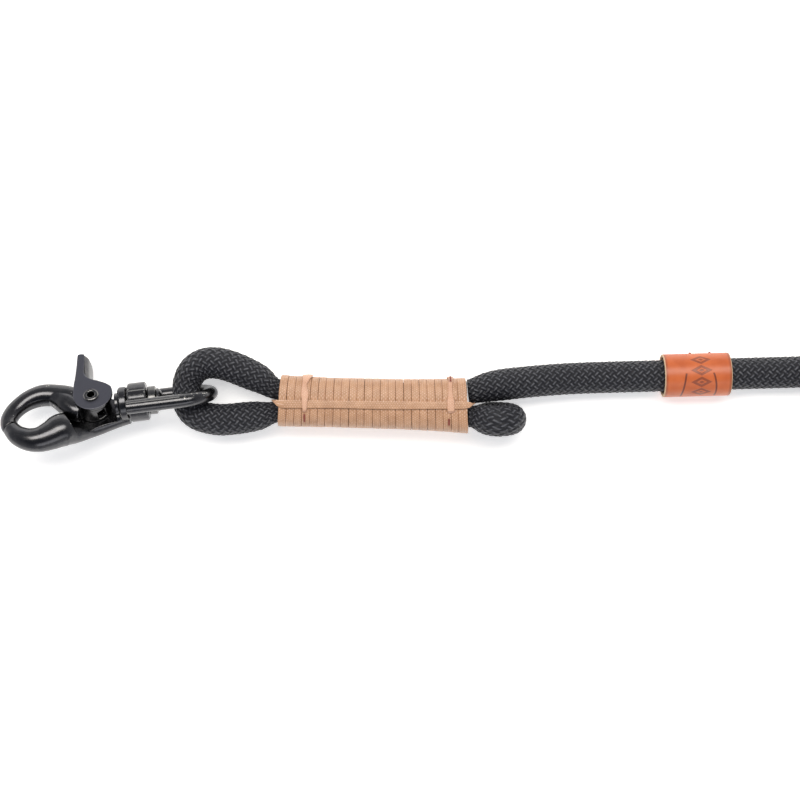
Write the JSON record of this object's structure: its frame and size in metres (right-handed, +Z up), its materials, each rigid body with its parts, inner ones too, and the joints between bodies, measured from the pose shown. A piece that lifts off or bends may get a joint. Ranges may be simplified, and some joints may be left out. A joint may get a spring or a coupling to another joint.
{
  "type": "rope lead with trigger snap",
  "caption": "Braided rope lead for a horse, folded into an eye on a swivel trigger snap and bound with flat waxed lace, with a sliding leather sleeve.",
  "frame": {"origin": "on the surface the lead lies on, under the middle of the snap, the eye, the whipping and the folded tail", "axes": "+X from the snap along the whipping to the free length, +Z up from the surface"},
  "size_m": [0.5779, 0.0935, 0.0391],
  "materials": {
    "gunmetal": "cast zinc alloy with a polished gunmetal plating",
    "spring_steel": "drawn spring wire",
    "rope": "braided black synthetic fibre",
    "waxed_lace": "flat waxed lace, satin",
    "thread": "red-brown waxed thread",
    "leather": "orange-tan leather with dark blind tooling"
  },
  "bodies": {
    "rope": {"rope_eye": "rope", "rope_tail": "rope", "rope_lead": "rope", "rope_hank": "rope", "whipping_lace": "waxed_lace", "frapping_lace": "waxed_lace", "cross_band_left": "waxed_lace", "cross_band_right": "waxed_lace", "tack_stitch_left": "thread", "tack_stitch_right_upper": "thread", "tack_stitch_right_lower": "thread", "hank_tie_near": "waxed_lace", "hank_tie_far": "waxed_lace", "end_whipping": "waxed_lace"},
    "eye": {"swivel_eye": "gunmetal"},
    "snap": {"hook_body": "gunmetal", "swivel_collar": "gunmetal", "trigger_rivet": "gunmetal", "trigger_spring": "spring_steel"},
    "trigger": {"trigger_lever": "gunmetal"},
    "sleeve": {"leather_sleeve": "leather", "seam_stitch_front": "thread", "seam_stitch_rear": "thread"}
  },
  "joints": [
    {"name": "eye_swing", "type": "hinge", "parent": "rope", "child": "eye", "pos_m": [-0.0323, 0.0018, 0.012], "axis": [-0.1122, 0.9813, 0.1562], "range_deg": [-60, 60]},
    {"name": "snap_swivel", "type": "hinge", "parent": "eye", "child": "snap", "pos_m": [-0.06908, -0.00314, 0.01662], "axis": [0.9912, 0.1217, -0.0523], "continuous": true},
    {"name": "trigger_hinge", "type": "hinge", "parent": "snap", "child": "trigger", "pos_m": [-0.0693, -0.0018, 0.01559], "axis": [0.0319, -0.6024, -0.7975], "range_deg": [0, 30], "stiffness_Nm_per_rad": 0.05, "springref_deg": -20.05},
    {"name": "sleeve_slide", "type": "slide", "parent": "rope", "child": "sleeve", "axis": [0.9996, 0.0277, 0], "range_m": [-0.025, 0.025]}
  ]
}
